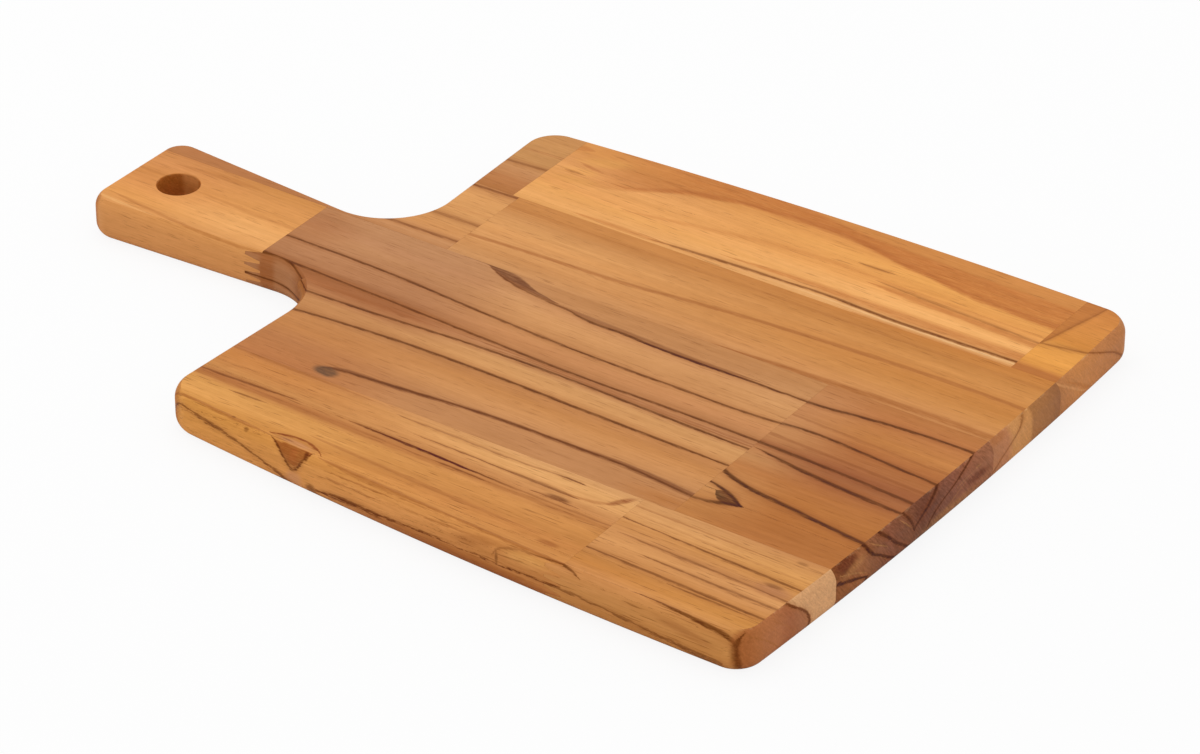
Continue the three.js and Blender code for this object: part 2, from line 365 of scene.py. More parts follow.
# Teak, planed, sanded and wiped with oil. The eye sees a satin surface with little gloss of its own, straight
# streaks and dark pores along the grain, and end grain that drinks the oil and goes darker.
def teak(name, look):
    made = bpy.data.materials.new(name)
    made.use_nodes = True
    made.node_tree.nodes.clear()
    add = partial(addNode, made.node_tree)
    smooth = {"interpolation_type": "SMOOTHSTEP"}
    place = add("TexCoord")
    sized = add("VectorMath", place["Object"], sockets={"Scale": 1 / metre}, operation="SCALE")[0]
    drawn = add("VectorMath", sized, figureShift, operation="ADD")[0]
    x, y, z = add("SeparateXYZ", drawn)

    # growth rings: each point takes the place where its ring meets the top face, so that a line drawn there
    # carries on round the edges and to the underside
    depth = add("Math", thickness, z, operation="SUBTRACT")[0]
    pith = add("FloatCurve", 1, x, points=look["pith"])[0]
    aside = add("Math", y, pith, operation="SUBTRACT")[0]
    rise = add("Math", depth, 2 * look["pithHeight"], operation="ADD")[0]
    rise = add("Math", depth, rise, operation="MULTIPLY")[0]
    reach = add("Math", aside, aside, rise, operation="MULTIPLY_ADD")[0]
    reach = add("Math", reach, operation="SQRT")[0]
    side = add("Math", aside, operation="SIGN")[0]
    ring = add("Math", side, reach, pith, operation="MULTIPLY_ADD")[0]

    start = add("Math", x, look["seed"], operation="ADD")[0]
    flow = add("CombineXYZ", start, ring, z)[0]
    pattern = {}
    for label, (long, wide, detail, roughness) in grainSizes.items():
        spread = add("VectorMath", flow, (1 / long, 1 / wide, 1 / wide), operation="MULTIPLY")[0]
        sockets = {"Scale": 1, "Detail": detail, "Roughness": roughness}
        pattern[label] = add("TexNoise", spread, sockets=sockets)[0]
    shift = add("MapRange", pattern["fray"], 0.2, 0.8, -look["jag"], look["jag"])[0]
    ragged = add("Math", ring, shift, operation="ADD")[0]
    fray = add("MapRange", pattern["fray"], 0.3, 0.6, 0.6, 1)[0]

    # broad bands of colour across the stave, from one end of the length to the other
    ends = []
    for column in (1, 2):
        low, high, stops = bandStops(look["bands"], column)
        across = add("MapRange", ragged, low, high)[0]
        ends.append(add("ValToRGB", across, stops=stops)[0])
    along = add("MapRange", x, *look["span"], **smooth)[0]
    colour = add("Mix", along, sockets={6: ends[0], 7: ends[1]}, data_type="RGBA")[2]

    deep = add("MapRange", depth, 0.3, 1.4, **smooth)[0]
    colour = drawFigure(add, look, look["strokes"], colour, x, ragged, fray, deep)

    # streaks, fibres and mottling: the darker parts are also the warmer ones
    for label, amount in look["shade"].items():
        tint = Vector((0.8, 1, 1.3)) * amount
        base = Vector((1, 1, 1)) - tint / 2
        level = add("VectorMath", pattern[label], tint, base, operation="MULTIPLY_ADD")[0]
        colour = add("VectorMath", colour, level, operation="MULTIPLY")[0]
    pits = add("MapRange", pattern["fleck"], 0.6, 0.72, 0, look["pores"], **smooth)[0]
    colour = add("Mix", pits, sockets={6: colour, 7: linear(look["pore"])}, data_type="RGBA")[2]

    # end grain, on the faces that are turned to either end of the board
    turned, _, upright = add("SeparateXYZ", place["Normal"])
    turned = add("Math", turned, operation="ABSOLUTE")[0]
    ending = add("MapRange", turned, 0.3, 0.6, **smooth)[0]
    if "endBands" in look:
        low, high, stops = bandStops(look["endBands"], 1)
        endAcross = add("Math", y, shift, operation="ADD")[0]
        endShare = add("MapRange", endAcross, low, high)[0]
        endColour = add("ValToRGB", endShare, stops=stops)[0]
        endColour = drawFigure(add, look, look["endStrokes"], endColour, z, endAcross, fray)
    else:
        endColour = add("VectorMath", colour, look["endGrain"], operation="MULTIPLY")[0]
    speck = add("VectorMath", drawn, sockets={"Scale": 1 / endGrainSizes["speck"]}, operation="SCALE")[0]
    speck = add("TexNoise", speck, sockets={"Scale": 1, "Detail": 3, "Roughness": 0.6})[0]
    lean = {"Angle": endGrainSizes["fibreLean"]}
    torn = add("VectorRotate", drawn, sockets=lean, rotation_type="X_AXIS")[0]
    finer = (1, 1 / endGrainSizes["fibreLength"], 1 / endGrainSizes["fibreWidth"])
    torn = add("VectorMath", torn, finer, operation="MULTIPLY")[0]
    torn = add("TexNoise", torn, sockets={"Scale": 1, "Detail": 3, "Roughness": 0.65})[0]
    for noise, reach, swing in ((speck, 0.25, endGrainSizes["speckDepth"]), (torn, 0.2, look["endTear"])):
        level = add("MapRange", noise, 0.5 - reach, 0.5 + reach, 1 - swing / 2, 1 + swing / 2)[0]
        endColour = add("VectorMath", endColour, sockets={"Scale": level}, operation="SCALE")[0]
    colour = add("Mix", ending, sockets={6: colour, 7: endColour}, data_type="RGBA")[2]

    # a thin, pale, patchy rim along the crisp line over the end grain: a painted highlight of the edge
    # catching the light, together with the paler chips where the sander broke the line
    rim = add("MapRange", depth, 0.1, 0.6, 1, 0, **smooth)[0]
    sloped = add("MapRange", upright, 0.97, 0.9, 0, 1)[0]
    rim = add("Math", rim, sloped, operation="MULTIPLY")[0]
    rim = add("Math", rim, ending, operation="MULTIPLY")[0]
    patchy = add("MapRange", pattern["mottle"], 0.5, 0.66, 0, look["rim"], **smooth)[0]
    rim = add("Math", rim, patchy, operation="MULTIPLY")[0]
    broken = linear(oiledFinish["brokenLine"])
    colour = add("Mix", rim, sockets={6: colour, 7: broken}, data_type="RGBA")[2]

    # the oiled surface adds a little white of its own, which comes off the colour here
    colour = add("VectorMath", colour, [look["sheen"]] * 3, operation="SUBTRACT")[0]
    colour = add("VectorMath", colour, (0.004, 0.002, 0.001), operation="MAXIMUM")[0]
    rough = add("MapRange", pattern["streak"], 0.3, 0.7, *oiledFinish["roughness"])[0]
    height = add("Math", pattern["fibre"], 0.5, operation="MULTIPLY")[0]
    height = add("Math", height, pits, operation="SUBTRACT")[0]
    bumpDepth = oiledFinish["bumpDepth"] * metre
    sockets = {"Strength": oiledFinish["bump"], "Distance": bumpDepth, "Height": height}
    bump = add("Bump", sockets=sockets)[0]
    sockets = {"Base Color": colour, "Roughness": rough, "IOR": oiledFinish["ior"], "Normal": bump}
    sockets["Specular IOR Level"] = oiledFinish["specular"]
    surface = add("BsdfPrincipled", sockets=sockets)[0]
    add("OutputMaterial", surface)
    return made


# What every length of the board shares. A look's bands give a place across the stave and the colours at the
# start and the end of its span; its strokes and end strokes are drawn in mm.
common = {
    "jag": 0.5,
    "shade": {"streak": 0.34, "blotch": 0.2, "fibre": 0.42, "mottle": 0.14},
    "pores": 0.35,
    "pore": "#7a4526",
    "halo": "#a5653a",
    "endGrain": (0.72, 0.6, 0.5),
    "endTear": 0.2,
    # how strongly the pale rim is painted on the end grain's crisp line, painted highlight and chips together
    "rim": 0.22,
    "sheen": 0.021,
}
slab = slabMesh()
hole = holeMesh()
sharpAngle = math.radians(32)


def makePiece(name, slotName, material, start, end, low, high, look, bored=False):
    blank = staveBlank(name + "_blank", start, end, low, high)
    cuts = [("INTERSECT", blank)]
    if bored:
        cuts.append(("DIFFERENCE", hole))
    mesh = cut(slab, *cuts)
    mesh.name = name
    mesh.polygons.foreach_set("use_smooth", [True] * len(mesh.polygons))
    mesh.set_sharp_from_angle(angle=sharpAngle)
    mesh.materials.clear()
    mesh.materials.append(teak(material, {**common, **look}))
    piece = bpy.data.objects.new(name + "_teak", mesh)
    bpy.context.scene.collection.objects.link(piece)
    weighted = piece.modifiers.new("flat faces keep their normals", "WEIGHTED_NORMAL")
    weighted.mode = "FACE_AREA"
    weighted.weight = 100
    weighted.keep_sharp = True
    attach(piece, "root")
    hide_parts(name)


halfGap = glueGap / 2
glueLines = {"farSecond": 69.3, "secondCentre": 21.2, "centreNear": -80.3}
farStave = (glueLines["farSecond"] + halfGap, beyondBoard)
secondStave = (glueLines["secondCentre"] + halfGap, glueLines["farSecond"] - halfGap)
centreStave = (glueLines["centreNear"] + halfGap, glueLines["secondCentre"] - halfGap)
nearStave = (-beyondBoard, glueLines["centreNear"] - halfGap)
jointLines = {
    "farShoulder": -54.6,
    "farEnd": 169.2,
    "second": -51.5,
    "handle": -108.5,
    "centreEnd": 120.4,
    "nearEnd": 107.7,
}

# far stave, shoulder length: even brown with one darker line
farShoulder = {
    "seed": 300,
    "pith": [(-80, 190), (-50, 190)],
    "pithHeight": 60,
    "span": (-80, -50),
    "bands": [
        (68, "#b27444", "#b27444"),
        (73, "#ba7b4b", "#ba7b4b"),
        (84, "#c58b5b", "#c58b5b"),
        (92, "#c68f59", "#c68f59"),
        (108, "#c78e57", "#c78e57"),
        (122, "#c08653", "#c08653"),
    ],
    "tones": {"brown": "#ad6d42", "dark": "#7a4526"},
    "strokes": [
        line("brown", [(-80, 76), (-54, 77)], 1.6, 0.35),
        line("brown", [(-80, 99), (-54, 101)], 1.4, 0.35),
        line("dark", [(-80, 87.3), (-54, 90)], 1.5, 0.55, core=0),
    ],
}
makePiece("far_stave_shoulder", "brown_teak", "brown teak, sanded and oiled, far shoulder",
          None, jointLines["farShoulder"], *farStave, farShoulder)

# far stave, long length: pale, with a broad brown arch along the far edge
farMiddle = {
    "seed": 700,
    "pith": [(-55, 190), (170, 190)],
    "pithHeight": 60,
    "span": (-45, 120),
    "bands": [
        (66, "#d99a5a", "#e2a669"),
        (72, "#e8a765", "#e4a86b"),
        (80, "#e7a560", "#eeac67"),
        (84, "#e29e5d", "#f2b16c"),
        (92, "#e3a160", "#e6a05a"),
        (97, "#e4a263", "#e39d56"),
        (104, "#dc9a5e", "#e8a45a"),
        (112, "#dc9957", "#dd9653"),
        (130, "#d08c52", "#d6935a"),
    ],
    "tones": {"brown": "#c0763f", "golden": "#e0a05a", "deep": "#b26738", "pale": "#f6c78e",
              "dark": "#6f3c1f"},
    "halo": "#c07a45",
    "strokes": [
        field("brown", [(-60, 83), (-40, 88), (-22, 94), (-14.5, 98), (-2.7, 104.5), (11, 108.5),
                        (20, 111.5), (38, 112.7), (60, 113.7), (68, 113.5), (86, 111), (95.5, 108.7),
                        (113.6, 106.5), (132, 103.2), (150, 102.2), (170, 101.5)], 1.3,
              [(-56, 0.1), (-38, 0.3), (-20, 0.6), (0, 0.8), (40, 0.92), (170, 0.88)]),
        line("brown", [(-16, 81), (20, 88.5), (60, 95), (99, 95)],
             [(-16, 0), (10, 2), (60, 2.6), (99, 1)], 0.32, core=0.1),
        line("brown", [(100, 91.2), (118, 90.2), (141, 89.6), (170, 88)],
             [(92, 0), (106, 2.2), (140, 2.8), (170, 2.8)], 0.7, core=0.2),
        line("brown", [(40, 76), (68, 77.5), (105, 77.5), (135, 77.5), (170, 78.3)],
             [(35, 0), (68, 2.6), (105, 4), (140, 4.8), (170, 4.8)], 0.75, core=0.15),
        line("brown", [(-25, 69.6), (15, 70.2)], [(-28, 0), (-18, 1.6), (8, 1.6), (18, 0)], 0.55),
        spot("golden", (-40, 107.5), (14, 4.6), 0.75, turn=22),
        spot("golden", (-44, 97), (10, 3.4), 0.6, turn=12),
        spot("golden", (-42, 90), (12, 3.6), 0.6, turn=10),
        field("golden", [(-60, 140), (20, 131), (60, 122), (110, 119), (170, 118.5)], 1.4, 0.4),
        line("deep", [(-56, 112), (-49, 113)], [(-56, 4), (-52, 2.6), (-48, 0)], 0.5),
        line("deep", [(-47, 102.6), (-36, 100.5)], [(-49, 0), (-42, 1.5), (-34, 0)], 0.45),
        line("deep", [(-22, 96.5), (-14.5, 100.5), (-2.7, 107), (11, 111), (38, 115.2), (68, 116),
                      (95.5, 111.4), (132, 106), (170, 104.5)],
             [(-30, 0), (-12, 2.2), (10, 2.4), (40, 1.8), (90, 2.6), (130, 3), (170, 2.8)], 0.45,
             core=0.1),
        line("brown", [(100, 69.6), (135, 69.9), (170, 70.6)], [(90, 0), (115, 1), (170, 1.1)], 0.6),
        line("pale", [(45, 70.8), (86, 72), (113.6, 71.6), (141, 72.1), (170, 73)],
             [(40, 0), (65, 0.9), (100, 0.8), (120, 0.7), (170, 0.8)],
             [(40, 0.2), (100, 0.6), (118, 0.95), (170, 0.95)]),
        line("dark", [(-50, 95), (-41, 95.3)], [(-51, 0), (-46, 0.7), (-40, 0)], 0.5),
        line("dark", [(82, 101.2), (100, 101.8)], [(82, 0), (91, 0.9), (100, 0)], 0.5),
        line("dark", [(96, 94), (118, 92.7), (141, 92), (170, 90.5)],
             [(94, 0), (108, 1), (140, 1.3), (170, 1.2)], 0.45, core=0),
        line("dark", [(8, 69.8), (16, 70.5), (33.6, 71.7), (50, 72.7), (68, 73.5), (86, 74.2),
                      (113.6, 73.2), (141, 73.7), (170, 74.7)],
             [(6, 0), (18, 0.9), (80, 1.1), (113, 1.3), (170, 1.2)],
             [(10, 0.5), (30, 0.75), (60, 0.8), (115, 0.95), (170, 0.95)]),
    ],
}
makePiece("far_stave_middle", "pale_teak", "pale teak, sanded and oiled, far length",
          jointLines["farShoulder"], jointLines["farEnd"], *farStave, farMiddle)

# far stave, end length: golden, with a ring line that wraps the corner
farEnd = {
    "seed": 1100,
    "pith": [(165, 190), (190, 190)],
    "pithHeight": 60,
    "span": (165, 190),
    "bands": [
        (66, "#ba743e", "#ba743e"),
        (74, "#bd7741", "#bd7741"),
        (77.5, "#e0994d", "#e0994d"),
        (85, "#eba353", "#eba353"),
        (93, "#e09a4e", "#e09a4e"),
        (97, "#d58d46", "#d58d46"),
        (106, "#db924c", "#db924c"),
        (114, "#d58c4a", "#d58c4a"),
        (124, "#cb8346", "#cb8346"),
    ],
    "tones": {"brown": "#b8733f", "light": "#dfa26b", "dark": "#7f4725"},
    "strokes": [
        field("brown",
              [(168, 89), (169.5, 92), (171, 98), (172.5, 105), (174, 112), (175.5, 118), (178, 132)],
              3, 0.85),
        line("dark", [(169.5, 92), (171, 98), (172.5, 105), (174, 112), (175.5, 118), (178, 132)],
             [(168.5, 0), (170, 3), (176, 3.6)], 0.45, core=0),
        line("dark", [(168, 91), (177, 92.7), (187, 95), (193, 97)], 1.1, 0.6, core=0),
    ],
    "endBands": [
        (68, "#b0764b"),
        (74, "#bd7f50"),
        (86, "#cb8852"),
        (100, "#c68452"),
        (115, "#be7e50"),
        (130, "#c0814c"),
    ],
    "endStrokes": [
        line("light", [(4, 90), (6, 86), (10, 80), (14, 73.5), (16.4, 70)], [(3, 0), (6, 1), (16, 1)],
             0.5),
        line("brown", [(2, 96), (5.2, 90.5), (10, 83.5), (14.7, 75.5)], [(1, 2), (10, 1.8), (15, 0)],
             0.6),
        line("dark", [(3, 120), (6, 116.3), (9.5, 111), (13.1, 103.6), (16.4, 95.6)], 1.1, 0.65),
    ],
}
makePiece("far_stave_end", "pale_teak", "golden teak, sanded and oiled, far corner",
          jointLines["farEnd"], None, *farStave, farEnd)

# second stave, shoulder length: pale orange with three brown lines
secondShoulder = {
    "seed": 1500,
    "pith": [(-195, 120), (-50, 120)],
    "pithHeight": 40,
    "span": (-120, -70),
    "bands": [
        (16, "#b47749", "#b2784c"),
        (22, "#ba7b4e", "#cc9262"),
        (30, "#d1925c", "#d5965d"),
        (38, "#d0945c", "#d0945c"),
        (48, "#d89b60", "#d89b60"),
        (58, "#dc9e62", "#dc9e62"),
        (66, "#c98b57", "#c98b57"),
        (69, "#b37950", "#b37950"),
    ],
    "tones": {"brown": "#b57445", "dark": "#7a4426"},
    "strokes": [
        line("brown", [(-80, 46), (-50, 47.5)], 1.5, 0.25),
        line("dark", [(-80, 64.2), (-50, 65.8)], 1.1, 0.8),
        line("dark", [(-80, 38.8), (-50, 39.8)], 1.3, 0.5),
        line("dark", [(-80, 24.6), (-50, 25.6)], 1.2, 0.7),
    ],
}
makePiece("second_stave_shoulder", "pale_teak", "pale teak, sanded and oiled, second shoulder",
          None, jointLines["second"], *secondStave, secondShoulder)

# second stave, long length: honey, with lines that climb towards the end
secondBody = {
    "seed": 1900,
    "pith": [(-50, 140), (190, 150)],
    "pithHeight": 50,
    "span": (-40, 160),
    "bands": [
        (18, "#ca915f", "#bb7b4a"),
        (24, "#cb905b", "#cf9059"),
        (28, "#cd9059", "#cf8f56"),
        (34, "#d1945c", "#cb8b4f"),
        (42, "#d8995e", "#c68447"),
        (48, "#d99c61", "#c98649"),
        (54, "#cd9058", "#d19052"),
        (60, "#c6864d", "#cb8a4c"),
        (69, "#cb8a4f", "#c48043"),
    ],
    "tones": {"brown": "#a8683a", "dark": "#7a4424"},
    "strokes": [
        line("brown", [(-50, 33), (-25, 34.8), (-2, 36), (20, 37.3), (45, 40.6), (75, 43.8), (105, 46),
                       (135, 47.6), (165, 48.5), (190, 48)], 1.7, 0.75),
        line("brown", [(60, 19.5), (80, 21), (105, 22.5), (130, 23.5), (165, 25), (190, 25)],
             [(60, 0), (85, 1.3), (110, 2.2), (150, 2.8), (190, 3)], 0.85),
        line("brown", [(-50, 59), (20, 61), (100, 62.5), (190, 64)], 1.5, 0.25),
    ],
    "endBands": [
        (19, "#b47a56"),
        (33, "#be8059"),
        (37, "#cf935c"),
        (49, "#cd9058"),
        (51, "#ae774a"),
        (62, "#a9734a"),
        (69, "#a06c48"),
    ],
    "endStrokes": [
        line("dark", [(2, 20), (6, 27), (9.9, 35.3), (13.5, 42), (16.4, 46)], 1.3, 0.55),
        line("brown", [(1, 66), (5, 56), (7, 50)], [(1, 1), (5, 0.9), (7, 0)], 0.6),
        spot("brown", (15.5, 27), (2, 7), 0.5),
    ],
}
makePiece("second_stave_body", "honey_teak", "honey teak, sanded and oiled, second length",
          jointLines["second"], None, *secondStave, secondBody)

# centre stave, handle length: the pale grip
centreHandle = {
    "seed": 2300,
    "pith": [(-195, 40), (-105, 44)],
    "pithHeight": 40,
    "span": (-175, -125),
    "bands": [
        (-38, "#d3925a", "#d3925a"),
        (-29, "#d7955a", "#d8965b"),
        (-20, "#dc9856", "#e3a262"),
        (-12, "#dd9758", "#e6a665"),
        (-6, "#d99255", "#e3a160"),
        (0, "#cd894e", "#d99656"),
        (8, "#d99359", "#d89556"),
        (14, "#cd8a52", "#d29051"),
        (20, "#c17d4a", "#c6864b"),
    ],
    "tones": {"brown": "#b3703c", "pale": "#efb573"},
    "strokes": [
        line("brown", [(-195, 0.2), (-175, 0.6)], [(-195, 1.4), (-178, 1.2), (-172, 0)], 0.3),
        line("brown", [(-158, -1.6), (-132, -2.6), (-107, -3.2)], [(-160, 0), (-145, 1.2), (-107, 1.5)],
             0.4),
        line("brown", [(-178, 10), (-155, 12.3), (-130, 13.2)], [(-178, 0), (-158, 2.4), (-132, 0)],
             0.42),
        line("brown", [(-184, -20.8), (-163, -23.2), (-146, -24.8), (-128, -25.2), (-107, -24)],
             [(-186, 0), (-175, 1), (-150, 1.4), (-125, 1), (-107, 0.8)], 0.55),
        # the pale line just inside the grip's near edge is a painted highlight, where the crisp edge catches
        # the light
        line("pale", [(-186, -25), (-165, -26.2)], [(-188, 0.8), (-178, 1.2), (-158, 0)], 0.6),
    ],
}
makePiece("centre_stave_handle", "pale_teak", "pale teak, sanded and oiled, handle",
          None, jointLines["handle"], *centreStave, centreHandle, bored=True)

# centre stave, long length: flat-sawn, with its rings in pairs either side of the middle
centreMiddle = {
    "seed": 2700,
    "pith": [(-107, -29), (-70, -29.2), (-20, -28.4), (40, -28), (121, -28.3)],
    "pithHeight": 16,
    "span": (-45, 15),
    "bands": [
        (-82, "#b9784a", "#c38959"),
        (-76, "#ba7a4b", "#c3895a"),
        (-68, "#bd7e4f", "#c08657"),
        (-60, "#c2834f", "#cf925c"),
        (-52, "#c38551", "#c68851"),
        (-47, "#bf8453", "#c18451"),
        (-40, "#c38957", "#d0965f"),
        (-35, "#b87d52", "#d09760"),
        (-29, "#ab6d45", "#c1875b"),
        (-24, "#a06640", "#bb8052"),
        (-18, "#b57d55", "#ca8c5b"),
        (-8, "#b98158", "#cb905c"),
        (0, "#be875c", "#d09560"),
        (6, "#be875e", "#c98e5d"),
        (12, "#be885e", "#c08757"),
        (20, "#c28c61", "#c28856"),
    ],
    "tones": {"straw": "#dba36c", "amber": "#b8763f", "russet": "#a5643a", "brown": "#9a5c36",
              "smoke": "#754730", "ash": "#5f493a", "dark": "#5f341c"},
    "strokes": [
        spot("straw", (110, 4), (30, 15), 0.35, core=0),
        spot("straw", (-8, 5), (18, 5), 0.35, turn=-12, core=0),
        spot("amber", (118, -76.5), (26, 7), 0.75, core=0.1),
        spot("russet", (-103, 6), (24, 22), 0.5, core=0),
        spot("russet", (-104, -10), (5, 22), 0.9, core=0.4, side=True),
        line("smoke", [(-31, 19), (-20, 16.2), (-12, 14.4), (-4, 12.2), (6, 10.6)],
             [(-31, 0.4), (-27, 1.7), (-20, 3.3), (-13, 3), (-6, 1.6), (4, 0.8), (8, 0)], 0.92,
             core=0.6),
        line("smoke", [(8, 10), (30, 8.7), (50, 8.1), (70, 7.5), (104, 8.8)],
             [(4, 0), (20, 1.5), (50, 1.7), (75, 1.3), (106, 0)], 0.6, core=0.2),
        line("smoke", [(-38, -76.4), (-31.8, -74), (-13.6, -72.2), (-2.7, -71.1), (13.6, -69.2),
                       (31.8, -67.5), (50, -66.8), (70, -66.4), (93, -66), (104, -66.6), (122, -68.2)],
             [(-38, 0), (-33, 1.5), (-20, 1.6), (30, 1.5), (70, 1.5), (93, 2.1), (104, 2.4),
              (122, 2.2)], 0.9, core=0.3),
        spot("ash", (-34.1, -77.6), (6.4, 3.7), 0.9, core=0.5),
        line("brown", [(-20, -28.4), (20, -27.6), (60, -28.2), (121, -28.3)],
             [(-20, 0), (20, 0.7), (121, 0.8)], 0.5),
        line("brown", [(0, -30.2), (20, -28.9), (60, -29.4), (121, -29.8)],
             [(0, 0), (20, 0.5), (121, 0.6)], 0.6),
        line("brown", [(-76, -30.5), (-50, -29.5), (-20, -29)],
             [(-78, 0), (-66, 1.8), (-40, 1.6), (-16, 0)], 0.5, core=0.1),
        line("dark", [(-28, 17.4), (-20, 14), (-9, 11.3), (4.5, 9.7), (13.6, 9), (19, 7.8), (27, 6.8),
                      (41, 7.1), (50, 6.4), (70, 6.2), (95, 6.8), (122, 7)],
             [(-30, 0), (-18, 0.7), (0, 0.7), (14, 0.7), (24, 1.1), (45, 1.1), (70, 1.2), (90, 1),
              (122, 1)], [(-30, 0.5), (-10, 0.65), (14, 0.7), (24, 0.9), (122, 0.9)]),
        line("dark", [(-107, -8), (-51, -8.3), (-20, -10.3), (17, -12.2), (42, -12.7), (80, -12.3),
                      (108, -11.8), (121, -10.7)], 0.95, 0.85),
        line("dark", [(-107, -22.5), (-51, -24), (-5, -25.3), (42, -26.5), (80, -25.6), (121, -25.3)],
             1, 0.85),
        line("dark", [(-76, -36.5), (-45, -34.7), (-20, -32.8), (-5, -31.6), (42, -30.4), (80, -31.1),
                      (121, -31.7)], 1, 0.9),
        line("dark", [(-76, -50.2), (-45, -46.7), (-20, -45), (17, -44.3), (55, -44.6), (121, -44.9)],
             [(-76, 1), (80, 1), (121, 0.7)], 0.9),
        line("dark", [(-33, -74.2), (-13.6, -72), (13.6, -69), (31.8, -67.4), (70, -66.3), (93, -66.2),
                      (104, -67), (122, -68.8)],
             [(-34, 0), (-28, 0.6), (20, 0.7), (93, 0.8), (122, 0.8)], 0.7),
    ],
}
makePiece("centre_stave_middle", "honey_teak", "honey teak, sanded and oiled, centre length",
          jointLines["handle"], jointLines["centreEnd"], *centreStave, centreMiddle)

# centre stave, end length: redder, with thicker lines, a dark hook and torn end grain
centreEnd = {
    "seed": 3100,
    "pith": [(115, -29), (150, -31), (190, -33.5)],
    "pithHeight": 16,
    "span": (121, 158),
    "bands": [
        (-82, "#bb7c47", "#b67543"),
        (-70, "#c0824c", "#b4723f"),
        (-60, "#c88c56", "#b6733f"),
        (-50, "#c58853", "#b87641"),
        (-42, "#bd7d4a", "#b67442"),
        (-35, "#c78e5b", "#b27045"),
        (-30, "#bd8153", "#a56842"),
        (-24, "#b0744a", "#a2633f"),
        (-17, "#c48958", "#b07044"),
        (-8, "#c88d5c", "#b57243"),
        (0, "#c18455", "#c4824a"),
        (13, "#c18556", "#bb7848"),
        (20, "#be8050", "#ba7947"),
    ],
    "tones": {"brown": "#8d5230", "wine": "#6f3c2c", "light": "#b98250", "ash": "#4d3324",
              "dark": "#4a2817"},
    "halo": "#8f4f30",
    "strokes": [
        line("brown", [(121, -18), (189, -20)], 1.3, 0.5),
        line("brown", [(121, -3), (189, -5)], 1, 0.35),
        line("dark", [(121, 7), (130, 7.7), (142, 9.6), (165, 12), (190, 12.8)], 1.2, 0.85),
        line("dark", [(121, -10.6), (130, -9.4), (142, -9.2), (162, -10.6), (190, -12.6)], 1.1, 0.8),
        line("dark", [(121, -25.3), (155, -26), (190, -27.9)], 1.3, 0.75),
        line("dark", [(121, -28.8), (127, -29.8), (150, -33), (190, -35.6)],
             [(122, 0), (127, 0.5), (134, 1.1), (190, 1.2)], 0.85),
        line("dark", [(121, -47.3), (127, -50), (137, -52.8), (150, -54.4), (170, -57), (190, -59.4)],
             1.6, 0.92),
        line("ash", [(127, -60.4), (131, -62.2), (136, -63.6), (142, -64.3)],
             [(127.5, 0), (130, 2.8), (134, 3.3), (138, 1.9), (142, 0)], 0.95, core=0.7),
        line("dark", [(121, -56.6), (126, -57.6), (131, -59.2), (140, -64.1)],
             [(121, 0.8), (128, 1.1), (134, 1.7), (138, 1.4), (141, 0)], 0.9),
        line("dark", [(121, -68.8), (128, -68.2), (135.5, -65.6), (142, -64)],
             [(121, 1), (128, 1.2), (133, 1.8), (138, 1.4), (142, 0)],
             [(121, 0.5), (128, 0.65), (133, 0.9)]),
    ],
    "endBands": [
        (-82, "#8f5836"),
        (-70, "#99603c"),
        (-63, "#a46a45"),
        (-56, "#935f42"),
        (-45, "#8b5842"),
        (-33, "#86563f"),
        (-20, "#795141"),
        (-5, "#8a5845"),
        (8, "#9a634a"),
        (18, "#9f684b"),
    ],
    "endTear": 0.5,
    "endStrokes": [
        line("light", [(12.6, -76), (9.6, -68), (5.6, -60)], [(5, 0), (8, 1.2), (11, 1.4), (13.4, 0)],
             0.7),
        line("light", [(5, -48), (9, -53), (13, -58)], [(4.4, 0), (8, 0.7), (11, 0.7), (13.6, 0)], 0.5),
        line("light", [(4, -12), (7, -5), (10, 4)], [(3, 0), (5, 1), (8.5, 1), (10.4, 0)], 0.5),
        spot("light", (3, -6), (4, 24), 0.5),
        line("light", [(10, -47.5), (15.8, -57)], [(9, 0), (12, 0.6), (16.2, 0)], 0.7),
        line("light", [(9, -31.5), (15.5, -38)], [(9, 0), (12, 0.6), (16, 0)], 0.6),
        line("light", [(10.4, -2), (11.4, 4), (11.8, 12)], [(10.2, 0), (11, 2), (12, 3), (12.6, 0)],
             0.45),
        spot("light", (12, -68), (2.4, 9), 0.45, turn=-10),
        spot("wine", (8.4, 12), (2.6, 10), 0.8, turn=4, core=0.3),
        spot("wine", (15, -71.5), (3.8, 9.5), 0.95, core=0.3),
        spot("wine", (12, -23), (7, 12), 0.6, core=0.1),
        line("dark", [(4, -60), (5.2, -63), (9.9, -77.2)],
             [(2, 1.2), (5, 1.8), (7.5, 3.6), (9.5, 3.4), (11, 0)], 0.95),
        line("dark", [(2, -41), (4.4, -45.5), (8.3, -51.4), (12.3, -57.2), (16.3, -59.4)], 1.6, 0.9),
        line("dark", [(2, -33), (4.4, -36.4), (8.3, -41.4), (13, -46.4), (16.3, -49.7)], 1.6, 0.85),
        line("dark", [(9.1, -30.5), (16.3, -34.7)], [(7, 0), (9, 0.8), (16.4, 1)], 0.75),
        line("dark", [(8, -30), (9.5, -28), (16.3, -12.2)], [(7, 0), (9, 1.8), (16.4, 1.8)], 0.8),
        line("dark", [(4, -22), (6, -19.7), (9.1, -14.7), (13.5, -1.4), (16.3, 11)],
             [(3, 0), (6, 1.2), (13, 2), (16.4, 2.2)], 0.75),
    ],
}
makePiece("centre_stave_end", "brown_teak", "reddish teak, sanded and oiled, centre end",
          jointLines["centreEnd"], None, *centreStave, centreEnd)

